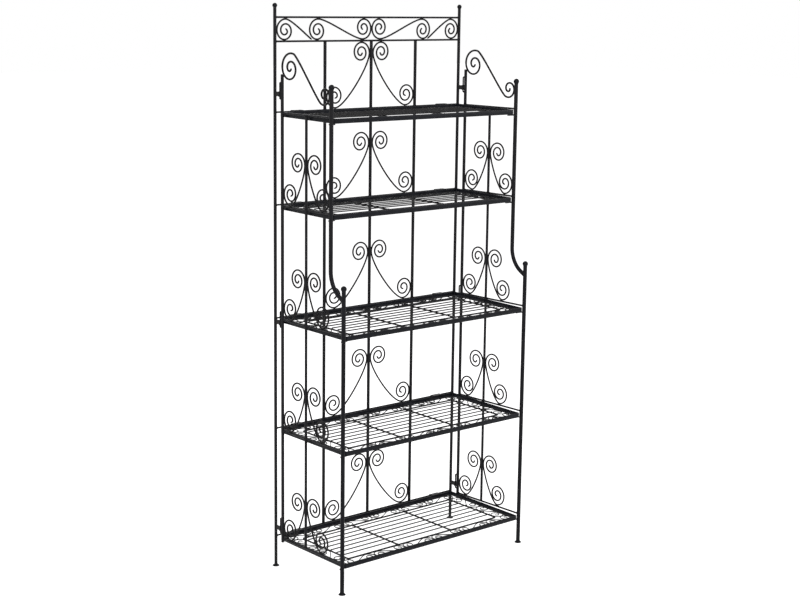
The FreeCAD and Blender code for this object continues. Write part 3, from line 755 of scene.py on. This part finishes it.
def flat_bar_ring(shape, place, front):
    """Standing flat bar with softened edges, bent round the shelf."""
    edge = FLAT_BAR_EDGE
    nip = FLAT_BAR_NIP
    low = SHELF_TOP - FLAT_BAR_HEIGHT
    high = SHELF_TOP
    section = [(0.0, low + edge), (0.0, high - edge), (nip, high - nip), (edge, high)]
    section += [(FLAT_BAR - edge, high), (FLAT_BAR - nip, high - nip), (FLAT_BAR, high - edge)]
    section += [(FLAT_BAR, low + edge), (FLAT_BAR - nip, low + nip), (FLAT_BAR - edge, low)]
    section += [(edge, low), (nip, low + nip)]
    rings = []
    for (u, v), way in rounded_rectangle(SHELF_HALF, SHELF_REAR, front, SHELF_CORNER):
        places = [place(u - inward * way[0], v - inward * way[1], rise) for inward, rise in section]
        rings.append([shape.verts.new(point) for point in places])
    skin(shape, rings)


def hook(shape, place, x):
    """Strap that lies on the rear bar and is bent down behind the rail."""
    angles = [math.pi / 2 + HOOK_WRAP * step / HOOK_STEPS for step in range(HOOK_STEPS + 1)]
    outline = []
    for reach, order in ((SHELF_TOP, 1), (SHELF_TOP + HOOK_STRAP, -1)):
        bent = [(reach * math.cos(angle), reach * math.sin(angle)) for angle in angles]
        outline += ([(SHELF_REAR + FLAT_BAR, reach)] + bent)[::order]
    faces = []
    for end in (-HOOK_WIDTH / 2, HOOK_WIDTH / 2):
        faces.append([shape.verts.new(place(x + end, depth, rise)) for depth, rise in outline])
    shape.faces.new(faces[0])
    shape.faces.new(faces[1][::-1])
    for i in range(len(outline)):
        shape.faces.new((faces[0][i - 1], faces[1][i - 1], faces[1][i], faces[0][i]))


def grid_lines(place, front):
    """Wire frame with two cross bars, and long wires laid on top of it."""
    half = GRID_FRAME_WIRE / 2
    near = SHELF_REAR + GRID_INSET
    far = front - GRID_INSET
    side = SHELF_HALF - GRID_END_INSET
    stops = ((0, near), (side, near), (side, far), (-side, far), (-side, near), (0, near))
    corners = [place(u, v, FRAME_WIRE_RISE) for u, v in stops]
    lines = [(GRID_FRAME_WIRE, plain(rounded(corners, GRID_CORNER)))]
    for x in (-CROSS_BAR_OFFSET, CROSS_BAR_OFFSET):
        start, end = (place(x, depth, FRAME_WIRE_RISE) for depth in (near + half, far - half))
        lines.append(bar(start, end, GRID_FRAME_WIRE))
    gaps = round((far - near) / GRID_PITCH)
    for index in range(1, gaps):
        depth = near + (far - near) * index / gaps
        start, end = (place(x, depth, LONG_WIRE_RISE) for x in (-side, side))
        lines.append(bar(start, end, GRID_WIRE, (False, False)))
    return lines


def border_unit(start, end, low, high, rising):
    """S-scroll that fills a stretch of the border: a curl at each end and a diagonal between them."""
    half = BORDER_WIRE / 2
    bottom = low + half
    top = high - half
    radius, step = filling(bottom, top, BORDER_CURL_END, BORDER_CURL_TURNS)
    left_centre = (start + half + radius - step, bottom + radius)
    right_centre = (end - half - radius + step, top - radius)
    left = curl(left_centre, radius, BORDER_CURL_END, -math.pi / 2, -BORDER_CURL_TURNS, tip=False)
    right = curl(right_centre, radius, BORDER_CURL_END, math.pi / 2, -BORDER_CURL_TURNS, tip=False)
    line = joined(left, right)
    if not rising:
        line = [(u, low + high - v) for u, v in line]
    return line


def border_lines(place, front):
    """S-scrolls between the flat bar and the wire frame, on all four sides."""
    inside = SHELF_REAR + FLAT_BAR
    outside = front - FLAT_BAR
    edge = SHELF_HALF - FLAT_BAR

    def at_rear(u, v):
        return place(u, inside + v, FRAME_WIRE_RISE)

    def at_front(u, v):
        return place(-u, outside - v, FRAME_WIRE_RISE)

    def at_left(u, v):
        return place(v - edge, u, FRAME_WIRE_RISE)

    def at_right(u, v):
        return place(edge - v, u, FRAME_WIRE_RISE)

    lines = []
    strip = GRID_INSET - GRID_FRAME_WIRE / 2 - FLAT_BAR
    for index, (start, end) in enumerate(zip(BORDER_STOPS, BORDER_STOPS[1:])):
        unit = border_unit(start, end, 0, strip, index % 2 == 0)
        lines += [scroll(unit, side, BORDER_WIRE) for side in (at_rear, at_front)]
    near = SHELF_REAR + GRID_INSET - GRID_FRAME_WIRE / 2
    pitch = (front - GRID_INSET + GRID_FRAME_WIRE / 2 - near) / 2
    strip = GRID_END_INSET - GRID_FRAME_WIRE / 2 - FLAT_BAR
    for index in range(2):
        unit = border_unit(near + index * pitch, near + (index + 1) * pitch, 0, strip, index % 2 == 0)
        lines += [scroll(unit, side, BORDER_WIRE) for side in (at_left, at_right)]
    return lines


def shelf(number, z, depth):
    """Flat bar with its hooks, wire grid and border of the shelf that hangs on the rail at z."""
    front = depth + SHELF_OVERHANG
    place = on_shelf(z)
    name = f"shelf_{number}"
    ring = bmesh.new()
    flat_bar_ring(ring, place, front)
    for side in (-1, 1):
        hook(ring, place, side * HOOK_OFFSET)
    mesh_piece(f"{name}_flat_bar", name, "shelf_bar", ring, [f"{name}_frame"], sharp=40.0)
    wires(f"{name}_wires", name, "shelf_wire", grid_lines(place, front), [f"{name}_grid"])
    wires(f"{name}_border_scrolls", name, "shelf_wire", border_lines(place, front), [f"{name}_border"])


back_panel()
for side_name, side_sign in SIDES:
    side_panel(side_name, side_sign)
for shelf_number, (shelf_z, shelf_depth) in enumerate(zip(SHELF_RAILS, FRONT_DEPTHS), 1):
    shelf(shelf_number, shelf_z, shelf_depth)

# CAD nodes that stay: the posts and the upright bars
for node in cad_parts.values():
    if node.hide_render:
        continue
    for material_slot in node.material_slots:
        material_slot.material = PAINTS["frame_tube"]


# ---- Studio ----


def studio():
    """White surroundings, a floor and three soft lamps."""
    scene = bpy.context.scene
    scene.view_settings.view_transform = "Standard"
    world = bpy.data.worlds.new("studio")
    scene.world = world
    world.use_nodes = True
    tree = world.node_tree
    tree.nodes.clear()
    output = tree.nodes.new("ShaderNodeOutputWorld")
    light = tree.nodes.new("ShaderNodeBackground")
    light.inputs["Color"].default_value = WHITE
    light.inputs["Strength"].default_value = WORLD_LIGHT
    backdrop = tree.nodes.new("ShaderNodeBackground")
    backdrop.inputs["Color"].default_value = WHITE
    backdrop.inputs["Strength"].default_value = 1.0
    choose = tree.nodes.new("ShaderNodeMixShader")
    tree.links.new(seen_ray(tree), choose.inputs["Fac"])
    tree.links.new(light.outputs["Background"], choose.inputs[1])
    tree.links.new(backdrop.outputs["Background"], choose.inputs[2])
    tree.links.new(choose.outputs["Shader"], output.inputs["Surface"])

    floor_mesh = bpy.data.meshes.new("floor")
    corners = [(x * FLOOR_REACH, y * FLOOR_REACH, 0) for x, y in ((-1, -1), (1, -1), (1, 1), (-1, 1))]
    floor_mesh.from_pydata(corners, [], [(0, 1, 2, 3)])
    floor = bpy.data.objects.new("floor", floor_mesh)
    scene.collection.objects.link(floor)
    floor_mesh.materials.append(floor_material())

    for settings in LAMPS:
        lamp(*settings)


def seen_ray(tree):
    """1 for what the camera sees, directly, in a gloss or through a clear surface."""
    path = tree.nodes.new("ShaderNodeLightPath")
    total = path.outputs["Is Camera Ray"]
    for name in ("Is Glossy Ray", "Is Transmission Ray"):
        add = tree.nodes.new("ShaderNodeMath")
        add.operation = "ADD"
        add.use_clamp = True
        tree.links.new(total, add.inputs[0])
        tree.links.new(path.outputs[name], add.inputs[1])
        total = add.outputs["Value"]
    return total


def floor_material():
    """Pale floor that fills up to white where it is lit and keeps the soft shadow."""
    material = bpy.data.materials.new("floor")
    material.use_nodes = True
    tree = material.node_tree
    tree.nodes.clear()
    output = tree.nodes.new("ShaderNodeOutputMaterial")
    diffuse = tree.nodes.new("ShaderNodeBsdfDiffuse")
    diffuse.inputs["Color"].default_value = FLOOR_TONE
    glow = tree.nodes.new("ShaderNodeEmission")
    glow.inputs["Color"].default_value = WHITE
    glow.inputs["Strength"].default_value = FLOOR_GLOW
    add = tree.nodes.new("ShaderNodeAddShader")
    tree.links.new(diffuse.outputs["BSDF"], add.inputs[0])
    tree.links.new(glow.outputs["Emission"], add.inputs[1])
    choose = tree.nodes.new("ShaderNodeMixShader")
    tree.links.new(seen_ray(tree), choose.inputs["Fac"])
    tree.links.new(diffuse.outputs["BSDF"], choose.inputs[1])
    tree.links.new(add.outputs["Shader"], choose.inputs[2])
    tree.links.new(choose.outputs["Shader"], output.inputs["Surface"])
    return material


def lamp(name, place, target, size, power):
    """Square area lamp that looks at its target."""
    data = bpy.data.lights.new(name, "AREA")
    data.size = size
    data.energy = power
    light = bpy.data.objects.new(name, data)
    light.location = place
    light.rotation_euler = (Vector(target) - Vector(place)).to_track_quat("-Z", "Y").to_euler()
    bpy.context.scene.collection.objects.link(light)


def camera():
    """View from the front left, a little above the middle of the rack."""
    yaw, pitch, roll = (math.radians(angle) for angle in CAMERA_ANGLES)
    forward = Vector((-math.sin(yaw) * math.cos(pitch), math.cos(yaw) * math.cos(pitch), math.sin(pitch)))
    right = Vector((math.cos(yaw), math.sin(yaw), 0))
    up = right.cross(forward)
    tilted_right = math.cos(roll) * right + math.sin(roll) * up
    tilted_up = math.cos(roll) * up - math.sin(roll) * right
    data = bpy.data.cameras.new("camera")
    data.lens = CAMERA_LENS
    data.sensor_width = CAMERA_SENSOR
    data.clip_start, data.clip_end = CAMERA_CLIP
    shot = bpy.data.objects.new("camera", data)
    turn = Matrix((tilted_right, tilted_up, -forward)).transposed().to_4x4()
    shot.matrix_world = Matrix.Translation(CAMERA_PLACE) @ turn
    bpy.context.scene.collection.objects.link(shot)
    bpy.context.scene.camera = shot


studio()
camera()

bpy.context.view_layer.update()
